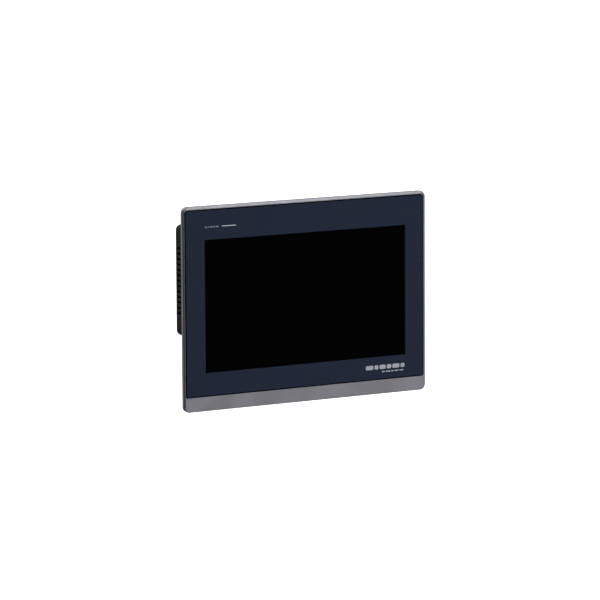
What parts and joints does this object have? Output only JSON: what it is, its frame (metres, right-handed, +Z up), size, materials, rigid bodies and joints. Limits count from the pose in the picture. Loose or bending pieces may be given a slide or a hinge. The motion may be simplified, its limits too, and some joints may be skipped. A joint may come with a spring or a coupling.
{
  "type": "hmi touch panel",
  "caption": "Flush-mount wide-screen operator touch panel with silver bezel, sealing gasket, vented rear box, downward cable sockets, pull-off supply plug and hinged service door.",
  "frame": {"origin": "centre of the door cut-out, in the plane of the door's front face, where the gasket presses", "axes": "+X to the operator's right, +Y into the cabinet, +Z up; the screen faces -Y"},
  "size_m": [0.27, 0.0519, 0.199],
  "materials": {
    "silver_plastic": "satin silver paint",
    "navy_film": "fine matte printed film",
    "window": "dark hard-coated window",
    "glass": "clear",
    "black_plastic": "fine spark texture",
    "black_rubber": "matte",
    "grey_foam": "open foam",
    "sheet_steel": "zinc plated",
    "aluminium": "plain",
    "light_plastic": "clear white",
    "white_plastic": "satin",
    "circuit_board": "solder mask",
    "chip_black": "moulded resin",
    "plug_green": "satin",
    "copper_film": "amber film",
    "label_white": "blank printed foil",
    "dip_red": "satin"
  },
  "bodies": {
    "panel": {"bezel_frame": "silver_plastic", "touch_overlay": "navy_film", "display_window": "window", "touch_glass": "glass", "panel_gasket": "black_rubber", "status_light_bar": "light_plastic", "status_led_board": "circuit_board", "lcd_bezel": "sheet_steel", "lcd_cell": "glass", "light_guide": "white_plastic", "backlight_strip": "label_white", "lcd_back_tray": "sheet_steel", "lcd_foam_seal": "grey_foam", "chassis_plate": "sheet_steel", "chassis_screw_1": "sheet_steel", "chassis_screw_2": "sheet_steel", "chassis_screw_3": "sheet_steel", "chassis_screw_4": "sheet_steel", "main_board": "circuit_board", "board_screw_1": "sheet_steel", "board_screw_2": "sheet_steel", "board_screw_3": "sheet_steel", "board_screw_4": "sheet_steel", "processor": "chip_black", "heat_sink": "aluminium", "memory_chip": "chip_black", "input_capacitor": "chip_black", "power_coil": "chip_black", "buzzer": "chip_black", "display_flex": "copper_film", "touch_flex": "copper_film", "ethernet_jack_1": "sheet_steel", "ethernet_jack_2": "sheet_steel", "serial_jack": "chip_black", "serial_connector": "sheet_steel", "serial_jack_post_1": "sheet_steel", "serial_jack_post_2": "sheet_steel", "usb_host_port_1": "sheet_steel", "usb_host_port_2": "sheet_steel", "usb_device_port": "sheet_steel", "power_header": "plug_green", "rear_housing": "black_plastic", "housing_screw_1": "sheet_steel", "housing_screw_2": "sheet_steel", "housing_screw_3": "sheet_steel", "housing_screw_4": "sheet_steel", "rating_label": "label_white", "door_hinge_pin": "sheet_steel", "battery_holder": "chip_black", "coin_cell": "sheet_steel", "dip_switch_block": "dip_red"},
    "supply_plug": {"power_plug": "plug_green"},
    "clamp_screw_1": {"terminal_screw_1": "sheet_steel"},
    "clamp_screw_2": {"terminal_screw_2": "sheet_steel"},
    "clamp_screw_3": {"terminal_screw_3": "sheet_steel"},
    "door": {"service_door": "black_plastic"},
    "lever_1": {"dip_lever_1": "white_plastic"},
    "lever_2": {"dip_lever_2": "white_plastic"},
    "lever_3": {"dip_lever_3": "white_plastic"},
    "lever_4": {"dip_lever_4": "white_plastic"}
  },
  "joints": [
    {"name": "plug_pull", "type": "slide", "parent": "panel", "child": "supply_plug", "axis": [0, 0, -1], "range_m": [0, 0.012]},
    {"name": "clamp_turn_1", "type": "hinge", "parent": "supply_plug", "child": "clamp_screw_1", "pos_m": [0.08492, 0.025, -0.037], "axis": [0, 1, 0], "continuous": true},
    {"name": "clamp_turn_2", "type": "hinge", "parent": "supply_plug", "child": "clamp_screw_2", "pos_m": [0.09, 0.025, -0.037], "axis": [0, 1, 0], "continuous": true},
    {"name": "clamp_turn_3", "type": "hinge", "parent": "supply_plug", "child": "clamp_screw_3", "pos_m": [0.09508, 0.025, -0.037], "axis": [0, 1, 0], "continuous": true},
    {"name": "door_swing", "type": "hinge", "parent": "panel", "child": "door", "pos_m": [-0.082, 0.0455, 0.0509], "axis": [1, 0, 0], "range_deg": [0, 100]},
    {"name": "lever_slide_1", "type": "slide", "parent": "panel", "child": "lever_1", "axis": [1, 0, 0], "range_m": [0, 0.0016]},
    {"name": "lever_slide_2", "type": "slide", "parent": "panel", "child": "lever_2", "axis": [1, 0, 0], "range_m": [0, 0.0016]},
    {"name": "lever_slide_3", "type": "slide", "parent": "panel", "child": "lever_3", "axis": [1, 0, 0], "range_m": [0, 0.0016]},
    {"name": "lever_slide_4", "type": "slide", "parent": "panel", "child": "lever_4", "axis": [1, 0, 0], "range_m": [0, 0.0016]}
  ]
}
